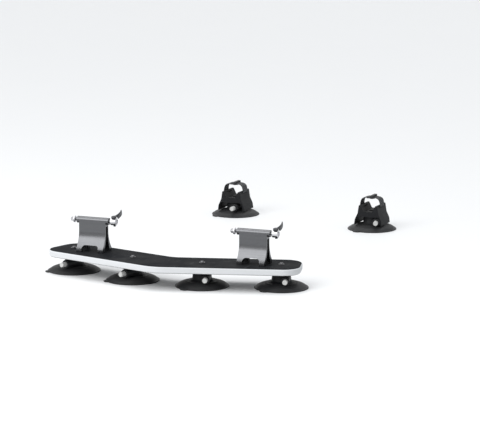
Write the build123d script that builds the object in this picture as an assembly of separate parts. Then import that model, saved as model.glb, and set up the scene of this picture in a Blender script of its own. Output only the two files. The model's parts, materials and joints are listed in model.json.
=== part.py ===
from build123d import *
import os
from math import cos, radians, sin

# Roof bike carrier for two bikes. It stands on vacuum cups: four under a swept-back board
# that carries two fork mounts, and one under each of two loose rear wheel holders.
# Millimetres. +X is the car's left, +Y its rear, +Z up, and z = 0 is the roof under the pads.

# Layout
sweep_angle = 16
left_wheelbase = 1065
right_wheelbase = 985
release_tab_angle = 235
rear_right_cup_turn = 15

# Clearances
running_gap = 0.05
loose_gap = 0.3
cut_over = 2

# Board: black skins over a white core, with a routed bevel
board_depth = 150
board_half_length = 394
board_thick = 19
outer_cup_inset = 57
inner_cup_margin = 35
fork_mount_inset = 77
board_bevel = 3
board_end_radius = 50
board_nose_radius = 120
board_notch_radius = 70
bolt_hole_gap = 0.3
screw_recess_depth = 7

# Vacuum pad
pad_radius = 77
pad_height = 18
pad_crown_radius = 35
pad_lip_thick = 3
pad_lip_width = 8
pad_hollow_depth = 3
tab_length = 9
tab_width = 22
port_radius = 1.5

# Stud moulded into the pad
stud_plate_radius = 14
stud_plate_thick = 3
stud_radius = 5
stud_top_inset = 8
stud_thread_depth = 24

# Pump body on the pad
body_top = 48
body_flange_radius = 34
body_flange_thick = 4
body_waist_radius = 28
body_crown_radius = 25
barrel_radius = 11
barrel_offset = 16.5
barrel_height = 29.5
barrel_reach = 52
bore_radius = 8
bore_end = 8
valve_radius = 5
valve_thick = 2.5

# Plunger, its cap, seal and spring
cap_thick = 5
cap_rim = 1
plunger_radius = 7
plunger_head_length = 8
plunger_exposed = 17
plunger_tip_bevel = 1
seal_thick = 2.5
spring_wall = 1.4

# Bolt through the board into the stud
bolt_radius = 3
bolt_head_radius = 5.5
bolt_head_thick = 4
bolt_length = 44
cradle_bolt_length = 30
washer_radius = 8.5
washer_thick = 1.5

# Fork mount, a hollow extrusion with a round axle tube on top
mount_width = 100
mount_body_width = 84
mount_half_depth = 30
mount_axle_height = 90
mount_tube_radius = 10
mount_wall = 4
mount_foot_height = 10
mount_foot_depth = 14
mount_flare_top = 62
mount_hollow_top = 74
mount_arch_width = 52
mount_arch_height = 20
mount_arch_radius = 10
stub_radius = 4.5
stub_length = 6
mount_screw_radius = 3
mount_screw_head_radius = 5
mount_screw_head_thick = 5
mount_screw_bite = 14

# Skewer
dropout_gap = 7
rod_radius = 2.5
rod_head_radius = 6.3
rod_head_start = 3.8
rod_head_end = 15
nut_radius = 9.5
nut_neck_radius = 7
nut_length = 14
nut_flange_thick = 5
nut_thread_depth = 12
housing_radius = 10.5
housing_length = 16.5
housing_floor = 2
housing_end_radius = 9
cam_shaft_radius = 4
cam_throw = 0.75
cam_place = 9
lever_rise = 12
lever_hub_radius = 7.5
lever_hub_thick = 6
lever_length = 58
lever_thick = 4.5
lever_bow = 4
lever_lean = 3
lever_width = 15
lever_clear = 13
lever_tip_radius = 6
shaft_tail = 3

# Wheel cradle: a bell-shaped block whose skirts reach down to the pad
cradle_length = 84
cradle_foot_width = 92
cradle_shoulder_width = 88
cradle_shoulder_height = 34
cradle_waist_width = 69
cradle_waist_height = 54
cradle_top = 80
cradle_crown_width = 61
cradle_bend_radius = 16
cradle_edge_radius = 3
groove_floor = 58
groove_floor_width = 30
groove_top_width = 52
wheel_radius = 342
cradle_wall = 4
cradle_pocket_top = 67
cradle_boss_radius = 27
cradle_rib_thick = 4
cradle_mouth_gap = 2
cradle_mouth_radius = 8
cradle_seat_thick = 3.5
cradle_recess_gap = 1.5

# Strap over the rim and its keeper
strap_width = 38
strap_thick = 2.4
strap_slot_height = 74
strap_slot_gap = 0.8
strap_anchor_inset = 9
strap_side_gap = 2
strap_top = 103
strap_shoulder_half = 30
strap_shoulder_radius = 18
strap_fold_radius = 3
strap_fold_share = 0.45
keeper_wall = 3
keeper_length = 9

# Places that follow from the sizes above
board_top = body_top + board_thick
outer_cup_reach = board_half_length - outer_cup_inset
inner_cup_reach = pad_radius + inner_cup_margin
fork_mount_reach = outer_cup_reach - fork_mount_inset
nose_setback = board_nose_radius * (1 / cos(radians(sweep_angle)) - 1)
nose_y = nose_setback - board_depth / 2 / cos(radians(sweep_angle))
mount_y = fork_mount_reach * sin(radians(sweep_angle))
mount_x = fork_mount_reach * cos(radians(sweep_angle))
back_y = mount_y + max(left_wheelbase, right_wheelbase) + pad_radius
centre_y = (nose_y + back_y) / 2
cam_radius = cam_shaft_radius - cam_throw - running_gap
shoulder_x = mount_width / 2
clamp_x = shoulder_x + dropout_gap
cam_x = clamp_x + cam_place
cradle_foot = pad_height
cradle_mouth_top = barrel_height + barrel_radius + cap_rim + cradle_mouth_gap

UPWARD = (Align.CENTER, Align.CENTER, Align.MIN)


def bar(radius, start, end):
    """Round bar from one point to another."""
    run = Vector(*end) - Vector(*start)
    return Plane(origin=start, z_dir=run) * Cylinder(radius, run.length, align=UPWARD)


def turned(*points):
    """Solid of revolution about Z from (radius, height) points."""
    outline = Polyline(*[(radius, 0, height) for radius, height in points], close=True)
    return revolve(make_face(outline), Axis.Z)


def arm_point(side, along, forward):
    """Place on an arm of the board: along it from the middle, and forward of its centre-line."""
    angle = radians(sweep_angle)
    x = along * cos(angle) + forward * sin(angle)
    return side * x, along * sin(angle) - forward * cos(angle)


def on_arm(side, along):
    """Location of a cup on an arm, square to the arm."""
    x, y = arm_point(side, along, 0)
    return Pos(x, y, 0) * Rot(0, 0, side * sweep_angle)


def mount_places():
    """Middle of each fork mount on the board."""
    return {"left": Pos(-mount_x, mount_y, board_top), "right": Pos(mount_x, mount_y, board_top)}


def mount_screw_places():
    """The four screw places in the feet of one fork mount."""
    screw_x = (mount_body_width / 2 + mount_arch_width / 2) / 2
    screw_y = mount_half_depth - mount_foot_depth / 2
    return [(i * screw_x, j * screw_y) for i in (-1, 1) for j in (-1, 1)]


def make_board():
    """Swept board with rounded corners, bevelled faces, bolt holes and recessed screw holes."""
    half = board_depth / 2
    edge_y = half / cos(radians(sweep_angle))
    right = [arm_point(1, board_half_length, half), arm_point(1, board_half_length, -half)]
    left = [arm_point(-1, board_half_length, -half), arm_point(-1, board_half_length, half)]
    corners = [(0, -edge_y)] + right + [(0, edge_y)] + left
    radii = {0: board_nose_radius, 3: board_notch_radius}
    flat = make_face(Polyline(*corners, close=True))
    for index, corner in enumerate(corners):
        radius = radii.get(index, board_end_radius)
        spot = flat.vertices().sort_by_distance((*corner, 0))[0]
        flat = fillet(spot, radius)
    board = extrude(Pos(0, 0, body_top) * flat, board_thick)
    rims = board.faces().sort_by(Axis.Z)
    board = chamfer(rims[0].edges() + rims[-1].edges(), board_bevel)
    under = body_top - cut_over
    for side in (-1, 1):
        for reach in (inner_cup_reach, outer_cup_reach):
            x, y = arm_point(side, reach, 0)
            board -= bar(bolt_radius + bolt_hole_gap, (x, y, under), (x, y, board_top + cut_over))
    for place in mount_places().values():
        for x, y in mount_screw_places():
            spot = place * Pos(x, y, -board_thick)
            start = (spot.position.X, spot.position.Y, under)
            ledge = (*start[:2], body_top + screw_recess_depth)
            board -= bar(mount_screw_radius + bolt_hole_gap, start, (*start[:2], board_top + cut_over))
            board -= bar(mount_screw_head_radius + bolt_hole_gap, start, ledge)
    return board


def make_pad():
    """Rubber cup: domed top, thin lip, shallow hollow, stud pocket, air port and release tab."""
    plate_top = pad_hollow_depth + stud_plate_thick
    dome = TangentArc((pad_crown_radius, pad_height), (pad_radius, pad_lip_thick), tangent=(1, 0))
    outline = dome + Polyline(
        (pad_radius, pad_lip_thick),
        (pad_radius, 0),
        (pad_radius - pad_lip_width, 0),
        (stud_plate_radius + running_gap, pad_hollow_depth),
        (stud_plate_radius + running_gap, plate_top),
        (stud_radius + running_gap, plate_top),
        (stud_radius + running_gap, pad_height),
        (pad_crown_radius, pad_height),
    )
    pad = revolve(Plane.XZ * make_face(outline), Axis.Z)
    tab = Pos(pad_radius, 0, 0) * Box(2 * tab_length, tab_width, pad_lip_thick, align=UPWARD)
    tab = fillet(tab.edges().filter_by(Axis.Z).group_by(Axis.X)[-1], tab_width / 3)
    tab -= bar(pad_radius - pad_lip_width, (0, 0, -cut_over), (0, 0, pad_height))
    pad += Rot(0, 0, release_tab_angle) * tab
    port = (barrel_offset, bore_valve_y())
    return pad - bar(port_radius, (*port, 0), (*port, pad_height + cut_over))


def bore_valve_y():
    """Middle of the check valve, at the inner end of the bore."""
    return bore_end + valve_thick / 2


def make_stud():
    """Steel plate with a threaded post, moulded into the pad."""
    top = body_top - stud_top_inset
    plate_top = pad_hollow_depth + stud_plate_thick
    thread = bolt_radius + running_gap
    return turned(
        (0, pad_hollow_depth),
        (stud_plate_radius, pad_hollow_depth),
        (stud_plate_radius, plate_top),
        (stud_radius, plate_top),
        (stud_radius, top),
        (thread, top),
        (thread, top - stud_thread_depth),
        (0, top - stud_thread_depth),
    )


def make_pump_body():
    """Moulded body with a central hole for the stud and a barrel beside it for the pump."""
    hole = stud_radius + running_gap
    flange_top = pad_height + body_flange_thick
    body = turned(
        (hole, pad_height),
        (body_flange_radius, pad_height),
        (body_waist_radius, flange_top),
        (body_crown_radius, body_top),
        (hole, body_top),
    )
    x, z = barrel_offset, barrel_height
    body += bar(barrel_radius, (x, -barrel_reach, z), (x, 0, z))
    body -= bar(hole, (0, 0, pad_height - cut_over), (0, 0, body_top + cut_over))
    valve_end = bore_end + valve_thick
    body -= bar(bore_radius, (x, -barrel_reach - cut_over, z), (x, bore_end, z))
    body -= bar(valve_radius + running_gap, (x, 0, z), (x, valve_end, z))
    return body - bar(port_radius, (x, bore_valve_y(), pad_height - cut_over), (x, bore_valve_y(), z))


def make_end_cap():
    """Collar on the mouth of the barrel that keeps the plunger in."""
    x, z = barrel_offset, barrel_height
    cap = bar(barrel_radius + cap_rim, (x, -barrel_reach - cap_thick, z), (x, -barrel_reach, z))
    hole = plunger_radius + running_gap
    return cap - bar(hole, (x, -barrel_reach - cap_thick - cut_over, z), (x, 0, z))


def plunger_stations():
    """Places along the pump's axis: tip, shoulder, inner face of the head, inner face of the seal."""
    tip = -barrel_reach - cap_thick - plunger_exposed
    shoulder = -barrel_reach + loose_gap
    head_end = shoulder + plunger_head_length
    return tip, shoulder, head_end, head_end + seal_thick


def make_plunger():
    """White push rod with a bevelled tip and a wider head that the end cap stops."""
    x, z = barrel_offset, barrel_height
    tip, shoulder, head_end, _ = plunger_stations()
    stem = bar(plunger_radius, (x, tip, z), (x, shoulder, z))
    stem = chamfer(stem.edges().group_by(Axis.Y)[0], plunger_tip_bevel)
    return stem + bar(bore_radius - running_gap, (x, shoulder, z), (x, head_end, z))


def make_seal():
    """Rubber cup on the inner face of the plunger's head."""
    x, z = barrel_offset, barrel_height
    _, _, head_end, seal_end = plunger_stations()
    return bar(bore_radius - running_gap, (x, head_end, z), (x, seal_end, z))


def make_spring():
    """Sleeve of the spring's outer shape, between the seal and the end of the bore."""
    x, z = barrel_offset, barrel_height
    start = plunger_stations()[3]
    outer = bore_radius - loose_gap
    sleeve = bar(outer, (x, start, z), (x, bore_end, z))
    return sleeve - bar(outer - spring_wall, (x, start - cut_over, z), (x, bore_end + cut_over, z))


def make_valve():
    """Rubber disc in the pocket at the end of the bore."""
    x, z = barrel_offset, barrel_height
    return bar(valve_radius, (x, bore_end, z), (x, bore_end + valve_thick, z))


def make_bolt(seat, length):
    """Round-headed bolt standing on its washer, which lies at the given height."""
    head_foot = seat + washer_thick
    head_top = head_foot + bolt_head_thick
    head = bar(bolt_head_radius, (0, 0, head_foot), (0, 0, head_top))
    head = chamfer(head.edges().group_by(Axis.Z)[-1], bolt_head_thick / 3)
    return head + bar(bolt_radius, (0, 0, head_foot - length), (0, 0, head_foot))


def make_washer(seat):
    """Flat washer lying at the given height, a hair clear of the bolt's head."""
    disc = bar(washer_radius, (0, 0, seat), (0, 0, seat + washer_thick - running_gap))
    return disc - bar(bolt_radius + bolt_hole_gap, (0, 0, seat - cut_over), (0, 0, seat + washer_thick))


def mount_outline(depth, foot, neck, flare_top, top):
    """Bell outline of the fork mount: upright foot, concave flare, upright neck, closed top."""
    side = Line((depth, 0), (depth, foot))
    side += TangentArc((neck, flare_top), (depth, foot), tangent=(0, -1))
    side += Line((neck, flare_top), (neck, top))
    return side + mirror(side, Plane.YZ) + Line((-depth, 0), (depth, 0))


def make_fork_mount():
    """Hollow extrusion across the car with an arch between its feet and an axle tube on top."""
    half = mount_body_width / 2
    over = half + cut_over
    outer = mount_outline(
        mount_half_depth, mount_foot_height, mount_tube_radius, mount_flare_top, mount_axle_height
    )
    crown = ThreePointArc(
        (mount_tube_radius, mount_axle_height),
        (0, mount_axle_height + mount_tube_radius),
        (-mount_tube_radius, mount_axle_height),
    )
    inner_half = mount_half_depth - mount_foot_depth
    neck = mount_tube_radius - mount_wall
    inner = mount_outline(inner_half, mount_foot_height, neck, mount_flare_top, mount_hollow_top)
    lid = Line((neck, mount_hollow_top), (-neck, mount_hollow_top))
    mount = extrude(Plane.YZ * make_face(outer + crown), half, both=True)
    mount -= extrude(Plane.YZ * make_face(inner + lid), over, both=True)
    arch = RectangleRounded(mount_arch_width, 2 * mount_arch_height, mount_arch_radius)
    mount -= extrude(Plane.XZ * arch, mount_half_depth + cut_over, both=True)
    tube_end = mount_width / 2
    mount += bar(mount_tube_radius, (-tube_end, 0, mount_axle_height), (tube_end, 0, mount_axle_height))
    reach = tube_end + stub_length
    mount += bar(stub_radius, (-reach, 0, mount_axle_height), (reach, 0, mount_axle_height))
    end = reach + cut_over
    hole = rod_radius + running_gap
    mount -= bar(hole, (-end, 0, mount_axle_height), (end, 0, mount_axle_height))
    for x, y in mount_screw_places():
        thread = mount_screw_radius + running_gap
        mount -= bar(thread, (x, y, -cut_over), (x, y, mount_screw_bite + loose_gap))
    return mount


def make_mount_screw():
    """Socket screw from below the board into a foot of the fork mount, at the board's top."""
    seat = screw_recess_depth - board_thick
    head = bar(mount_screw_head_radius, (0, 0, seat - mount_screw_head_thick), (0, 0, seat))
    return head + bar(mount_screw_radius, (0, 0, seat), (0, 0, mount_screw_bite))


def make_skewer_rod():
    """Rod through the axle tube, with a head whose oval eye the lever's cam turns in."""
    tail = -clamp_x - nut_thread_depth + loose_gap
    rod = bar(rod_radius, (tail, 0, 0), (clamp_x + rod_head_start, 0, 0))
    rod += bar(rod_head_radius, (clamp_x + rod_head_start, 0, 0), (clamp_x + rod_head_end, 0, 0))
    eye_width = 2 * (cam_radius + loose_gap)
    eye_length = 2 * (cam_radius + cam_throw + loose_gap)
    eye = Pos(cam_x + cam_throw, 0, 0) * SlotOverall(eye_length, eye_width, rotation=90)
    return rod - Rot(lever_rise, 0, 0) * extrude(eye, rod_head_radius + cut_over, both=True)


def make_skewer_nut():
    """Round nut with a flange towards the fork, threaded on the rod."""
    face = -clamp_x
    nut = bar(nut_radius, (face - nut_flange_thick, 0, 0), (face, 0, 0))
    nut += bar(nut_neck_radius, (face - nut_length, 0, 0), (face, 0, 0))
    hole = rod_radius + running_gap
    return nut - bar(hole, (face - nut_thread_depth, 0, 0), (face + cut_over, 0, 0))


def make_cam_housing():
    """Cup that the rod's head slides in, crossed by the bore of the lever's shaft."""
    end = clamp_x + housing_length
    housing = bar(housing_radius, (clamp_x, 0, 0), (end, 0, 0))
    housing = chamfer(housing.edges().group_by(Axis.X)[-1], housing_radius - housing_end_radius)
    housing -= bar(rod_head_radius + running_gap, (clamp_x + housing_floor, 0, 0), (end + cut_over, 0, 0))
    housing -= bar(rod_radius + running_gap, (clamp_x - cut_over, 0, 0), (end, 0, 0))
    reach = housing_radius + cut_over
    bore = bar(cam_shaft_radius + running_gap, (cam_x, 0, -reach), (cam_x, 0, reach))
    return housing - Rot(lever_rise, 0, 0) * bore


def make_lever():
    """Curved lever on a shaft whose middle is the cam, closed and pointing to the rear."""
    foot = housing_radius + loose_gap
    head = foot + lever_hub_thick
    hub = bar(lever_hub_radius, (cam_x, 0, foot), (cam_x, 0, head))
    tail = -housing_radius - shaft_tail
    shaft = bar(cam_shaft_radius, (cam_x, 0, tail), (cam_x, 0, foot))
    waist = rod_head_radius + running_gap
    gap = Pos(cam_x, 0, 0) * Box(housing_radius, housing_radius, 2 * waist)
    cam_middle = cam_x + cam_throw
    shaft = shaft - gap + bar(cam_radius, (cam_middle, 0, -waist), (cam_middle, 0, waist))
    tip = (cam_x - lever_lean, lever_length)
    middle = (cam_x + lever_bow, lever_length / 2)
    ribbon = extrude(trace(ThreePointArc((cam_x, 0), middle, tip), lever_thick), head)
    tall = lever_length + lever_thick + lever_hub_radius
    side = Pos(tall / 2 - lever_hub_radius, head - lever_width / 2) * Rectangle(tall, lever_width)
    side = fillet(side.vertices().group_by(Axis.X)[-1], lever_tip_radius)
    near = Pos(0, foot - housing_radius / 2) * Rectangle(2 * lever_clear, housing_radius)
    blade = ribbon & (Pos(clamp_x, 0, 0) * extrude(Plane.YZ * (side - near), housing_length + lever_bow))
    return Rot(lever_rise, 0, 0) * (hub + shaft + blade)


def groove_half(height):
    """Half width of the wheel groove at a height in the cradle."""
    share = (height - groove_floor) / (cradle_top - groove_floor)
    return (groove_floor_width + share * (groove_top_width - groove_floor_width)) / 2


def cheek_corners():
    """Corners of the cradle's right side, from the foot of its skirt to its crown."""
    return [
        (cradle_foot_width / 2, cradle_foot),
        (cradle_shoulder_width / 2, cradle_shoulder_height),
        (cradle_waist_width / 2, cradle_waist_height),
        (cradle_crown_width / 2, cradle_top),
    ]


def cheek_half(height):
    """Half width of the cradle's outside at a height."""
    corners = cheek_corners()
    for (low_x, low), (high_x, high) in zip(corners, corners[1:]):
        if height <= high:
            break
    return low_x + (height - low) / (high - low) * (high_x - low_x)


def skirt_room(top, length):
    """Room between the skirts, up to a height and over a length, for the pump body."""
    foot = cradle_foot - cut_over
    side = [(cheek_half(height) - cradle_wall, height) for height in (foot, cradle_shoulder_height, top)]
    room = make_face(Polyline(*side, *[(-x, height) for x, height in reversed(side)], close=True))
    room = fillet(room.vertices().group_by(Axis.Y)[-1], cradle_mouth_radius)
    return extrude(Plane.XZ * room, length / 2, both=True)


def make_cradle():
    """Moulded bell-shaped block with a groove curved like the wheel, hollow and ribbed below."""
    over = cradle_top + groove_floor_width
    half = cradle_length / 2
    side = cheek_corners()
    bends = [cradle_bend_radius, cradle_bend_radius, cradle_edge_radius]
    corners = side + [(-x, height) for x, height in reversed(side)]
    outline = FilletPolyline(*corners, radius=bends + bends[::-1]) + Line(corners[-1], corners[0])
    block = extrude(Plane.XZ * make_face(outline), half, both=True)
    rims = block.edges().filter_by(Axis.Y, reverse=True)
    block = fillet(rims.filter_by_position(Axis.Z, cradle_foot, over, (False, True)), cradle_edge_radius)
    section = Polyline(
        (-groove_half(groove_floor), 0, groove_floor),
        (groove_half(groove_floor), 0, groove_floor),
        (groove_half(over), 0, over),
        (-groove_half(over), 0, over),
        close=True,
    )
    wheel_axis = Axis((0, 0, groove_floor + wheel_radius), (1, 0, 0))
    swing = 360 * cradle_length / wheel_radius / 4
    groove = revolve(make_face(section).rotate(wheel_axis, -swing / 2), wheel_axis, swing)
    block -= groove
    block -= skirt_room(body_top, cradle_length - 2 * cradle_wall)
    block -= skirt_room(cradle_mouth_top, cradle_length + 2 * cut_over)
    for side in (-1, 1):
        block -= cheek_hollows(side)
        block -= strap_slot(side)
    block -= bar(bolt_radius + bolt_hole_gap, (0, 0, cradle_foot), (0, 0, groove_floor + cut_over))
    recess = washer_radius + cradle_recess_gap
    seat = body_top + cradle_seat_thick
    return block - bar(recess, (0, 0, seat), (0, 0, groove_floor + 2 * cut_over))


def cheek_hollows(side):
    """Three hollows in one cheek above the pump body's room, parted by ribs."""
    low = cradle_mouth_top
    outside = [(cheek_half(height) - cradle_wall, height) for height in (low, cradle_waist_height)]
    outside += [(cheek_half(cradle_pocket_top) - cradle_wall, cradle_pocket_top)]
    inside = [(groove_half(cradle_pocket_top) + cradle_wall, cradle_pocket_top), (cradle_boss_radius, low)]
    outline = Polyline(*[(side * x, height) for x, height in outside + inside], close=True)
    span = (cradle_length - 2 * cradle_wall - 2 * cradle_rib_thick) / 3
    hollow = extrude(Plane.XZ * make_face(outline), span / 2, both=True)
    pitch = span + cradle_rib_thick
    return [Pos(0, index * pitch, 0) * hollow for index in (-1, 0, 1)]


def strap_slot(side):
    """Slot through one cheek for the end of the strap."""
    width = strap_width + 2 * strap_slot_gap
    tall = strap_thick + 2 * strap_slot_gap
    middle = side * cradle_crown_width / 2
    return Pos(middle, 0, strap_slot_height) * Box(cradle_crown_width / 2, width, tall)


def strap_line():
    """Path of the strap across the cradle: in one slot, up the cheek, over the rim and back."""
    outside = cheek_half(strap_slot_height) + strap_side_gap
    inside = outside - strap_anchor_inset
    half = [(inside, strap_slot_height), (outside, strap_slot_height), (strap_shoulder_half, strap_top)]
    mirrored = [(-x, z) for x, z in half]
    radii = [strap_fold_radius, strap_shoulder_radius, strap_shoulder_radius, strap_fold_radius]
    return FilletPolyline(*half, *reversed(mirrored), radius=radii)


def make_strap():
    """Webbing in a closed arch over where the rim lies, doubled where its end folds back."""
    band = trace(strap_line(), strap_thick)
    fold_x = strap_fold_share * strap_shoulder_half
    fold_z = strap_top + strap_thick
    band += trace(Line((-fold_x, fold_z), (fold_x, fold_z)), strap_thick)
    return extrude(Plane.XZ * band, strap_width / 2, both=True)


def make_strap_keeper():
    """Ring round both layers of the strap."""
    inner_tall = 2 * strap_thick + 2 * loose_gap
    inner_wide = strap_width + 2 * loose_gap
    middle = Pos(strap_fold_share * strap_shoulder_half - keeper_length, 0, strap_top + strap_thick / 2)
    ring = Box(keeper_length, inner_wide + 2 * keeper_wall, inner_tall + 2 * keeper_wall)
    ring = fillet(ring.edges().filter_by(Axis.X), keeper_wall / 2)
    return middle * (ring - Box(keeper_length + cut_over, inner_wide, inner_tall))


def front_cup_places():
    """Location of each cup under the board."""
    return {
        "outer_left": on_arm(-1, outer_cup_reach),
        "inner_left": on_arm(-1, inner_cup_reach),
        "inner_right": on_arm(1, inner_cup_reach),
        "outer_right": on_arm(1, outer_cup_reach),
    }


def holder_places():
    """Location of each wheel holder behind its fork mount."""
    return {
        "rear_left": Pos(-mount_x, mount_y + left_wheelbase, 0),
        "rear_right": Pos(mount_x, mount_y + right_wheelbase, 0),
    }


def rear_cup_places():
    """Location of the cup of each wheel holder; the right one is turned under its cradle."""
    places = holder_places()
    places["rear_right"] = places["rear_right"] * Rot(0, 0, rear_right_cup_turn)
    return places


def build_nodes():
    """Every named piece in its place, about the roof line under the nose of the board."""
    front, rear = front_cup_places(), rear_cup_places()
    nodes = {"board": make_board()}
    per_cup = {
        "pad": make_pad(),
        "pump_body": make_pump_body(),
        "plunger": make_plunger(),
        "piston_seal": make_seal(),
        "pump_spring": make_spring(),
    }
    for spot, place in {**front, **rear}.items():
        for name, piece in per_cup.items():
            nodes[f"{name}_{spot}"] = place * piece
    shared = {"pad_stud": make_stud(), "pump_end_cap": make_end_cap(), "check_valve": make_valve()}
    for name, piece in shared.items():
        nodes[f"{name}s_front"] = Compound(children=[place * piece for place in front.values()])
        for spot, place in rear.items():
            nodes[f"{name}_{spot}"] = place * piece
    bolt, washer = make_bolt(board_top, bolt_length), make_washer(board_top)
    fasteners = [place * piece for place in front.values() for piece in (bolt, washer)]
    nodes["cup_bolts_and_washers"] = Compound(children=fasteners)
    seat = body_top + cradle_seat_thick
    per_holder = {
        "cradle": make_cradle(),
        "cradle_bolt": make_bolt(seat - washer_thick, cradle_bolt_length),
        "strap": make_strap(),
        "strap_keeper": make_strap_keeper(),
    }
    for spot, place in holder_places().items():
        for name, piece in per_holder.items():
            nodes[f"{name}_{spot}"] = place * piece
    screw = make_mount_screw()
    screws = []
    skewer = {
        "skewer_rod": make_skewer_rod(),
        "skewer_nut": make_skewer_nut(),
        "skewer_cam_housing": make_cam_housing(),
        "skewer_lever": make_lever(),
    }
    mount = make_fork_mount()
    for spot, place in mount_places().items():
        nodes[f"fork_mount_{spot}"] = place * mount
        screws += [place * Pos(x, y, 0) * screw for x, y in mount_screw_places()]
        for name, piece in skewer.items():
            nodes[f"{name}_{spot}"] = place * Pos(0, 0, mount_axle_height) * piece
    nodes["fork_mount_screws"] = Compound(children=screws)
    return {name: Pos(0, -centre_y, 0) * piece for name, piece in nodes.items()}


os.makedirs("parts", exist_ok=True)
for name, piece in build_nodes().items():
    export_step(piece, f"parts/{name}.step")
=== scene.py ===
import json
from math import atan2, cos, pi, radians, sin

import bmesh
import bpy
import numpy as np
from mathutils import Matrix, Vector


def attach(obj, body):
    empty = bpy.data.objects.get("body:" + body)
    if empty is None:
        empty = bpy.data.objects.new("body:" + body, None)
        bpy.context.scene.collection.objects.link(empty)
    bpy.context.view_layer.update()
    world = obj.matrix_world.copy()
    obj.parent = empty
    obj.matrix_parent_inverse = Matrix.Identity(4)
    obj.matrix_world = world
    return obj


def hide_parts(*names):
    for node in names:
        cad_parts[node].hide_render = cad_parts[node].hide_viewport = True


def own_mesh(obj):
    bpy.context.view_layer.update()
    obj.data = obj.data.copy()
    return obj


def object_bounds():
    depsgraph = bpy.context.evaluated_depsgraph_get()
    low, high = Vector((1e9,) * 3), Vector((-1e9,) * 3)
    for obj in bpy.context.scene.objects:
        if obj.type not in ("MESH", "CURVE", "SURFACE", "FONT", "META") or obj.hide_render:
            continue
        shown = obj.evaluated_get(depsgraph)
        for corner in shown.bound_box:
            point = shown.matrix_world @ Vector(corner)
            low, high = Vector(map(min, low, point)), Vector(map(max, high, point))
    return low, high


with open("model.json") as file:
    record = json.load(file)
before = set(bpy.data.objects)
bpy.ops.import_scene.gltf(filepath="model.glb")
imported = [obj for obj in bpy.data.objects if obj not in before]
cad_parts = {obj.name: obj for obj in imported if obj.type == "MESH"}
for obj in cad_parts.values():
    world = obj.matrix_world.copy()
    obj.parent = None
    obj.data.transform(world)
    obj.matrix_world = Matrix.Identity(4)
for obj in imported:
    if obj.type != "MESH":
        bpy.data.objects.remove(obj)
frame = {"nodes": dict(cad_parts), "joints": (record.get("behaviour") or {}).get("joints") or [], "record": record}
cad_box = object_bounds()

# The roof bike carrier in metres, in the same frame as its solids: +X the car's left, +Y its rear.
# Left and right in names are as the photograph shows them, so left is at -X.

# Cup: rubber pad, pump beside its stud
pad_radius = 0.077
pad_ring = 0.073
pad_top = 0.018
stud_hole = 0.0052
tab_start = 0.070
tab_reach = 0.0085
tab_angle = radians(235)
tab_half_angle = radians(8.5)
pump_side = 0.0165
pump_height = 0.0295
barrel_mouth = 0.052
cap_radius = 0.012
cap_thick = 0.005
plunger_radius = 0.007
plunger_tip = 0.074
plunger_shoulder = 0.0517
plunger_groove = 0.0004
head_length = 0.008
bore_radius = 0.008
seal_end = 0.0412
bore_end = 0.008
spring_wire = 0.0006
spring_turns = 9

# Board and its fasteners
board_foot = 0.048
board_top = 0.067
skin_thick = 0.0009
washer_radius = 0.0085
washer_thick = 0.00145
bolt_head_radius = 0.0055
bolt_head_height = 0.004
bolt_shank = 0.003
socket_apothem = 0.002
socket_depth = 0.0022
cup_bolt_length = 0.044
cradle_bolt_length = 0.030

# Fork mount and skewer
shoulder = 0.050
dropout_gap = 0.007
clamp_face = shoulder + dropout_gap
nut_radius = 0.0095
nut_neck = 0.007
nut_flange = 0.005
nut_length = 0.014
cam_place = 0.009
lever_rise = radians(12)
lever_foot = 0.0108
lever_head = 0.0168
lever_hub = 0.0075
lever_length = 0.058
lever_half_thick = 0.00225
lever_width = 0.015
lever_bow = 0.004
lever_lean = 0.003
lever_clear = 0.013
cam_shaft = 0.004
cam_throw = 0.00075
cam_radius = 0.0032
rod_head_half = 0.00635
shaft_tail = 0.0135

# Wheel cradle, strap and keeper
cradle_seat = 0.0515
strap_half_width = 0.019
strap_half_thick = 0.0011
strap_top = 0.103
keeper_half_length = 0.0045
keeper_wall = 0.003
keeper_place = 0.0045
keeper_gap = 0.0003
strap_layer_half = 0.0012
strap_fold_lift = 0.0023
strap_slot = 0.074
strap_fold_half = 0.0135

FRONT_CUPS = ("outer_left", "inner_left", "inner_right", "outer_right")
REAR_CUPS = ("rear_left", "rear_right")
SIDES = ("left", "right")


# Geometry

def lerp(a, b, share):
    """Straight mix of a and b."""
    return a + (b - a) * share


def smooth_step(values):
    """Rises from 0 to 1 as 3t squared less 2t cubed, and stays flat outside."""
    t = np.clip(values, 0, 1)
    return t * t * (3 - 2 * t)


def eased_line(corners, passes=3, closed=False):
    """Rounds a line by cutting its corners: each pass keeps the quarter points of every stretch."""
    line = np.asarray(corners, float)
    for _ in range(passes):
        after = np.roll(line, -1, axis=0) if closed else line[1:]
        before = line if closed else line[:-1]
        cut = np.stack([lerp(before, after, 0.25), lerp(before, after, 0.75)], 1).reshape(-1, line.shape[1])
        line = cut if closed else np.vstack([line[:1], cut, line[-1:]])
    return line


def spaced(line, count):
    """The same line as count points, evenly spaced along its length."""
    steps = np.linalg.norm(np.diff(line, axis=0), axis=1)
    along = np.concatenate([[0], np.cumsum(steps)])
    wanted = np.linspace(0, along[-1], count)
    return np.stack([np.interp(wanted, along, line[:, k]) for k in range(line.shape[1])], 1)


def lathe(profile, segments, wave=None):
    """Surface of revolution about Z: point (i, j) is profile i turned by angle j; wave scales its radius."""
    profile = np.asarray(profile, float)
    angle = np.linspace(0, 2 * pi, segments, endpoint=False)
    radius = np.repeat(profile[:, :1], segments, axis=1)
    if wave is not None:
        radius = wave(radius, profile[:, 1:2] + 0 * radius, angle[None, :] + 0 * radius)
    height = np.repeat(profile[:, 1:2], segments, axis=1)
    return np.stack([radius * np.cos(angle), radius * np.sin(angle), height], -1)


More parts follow.
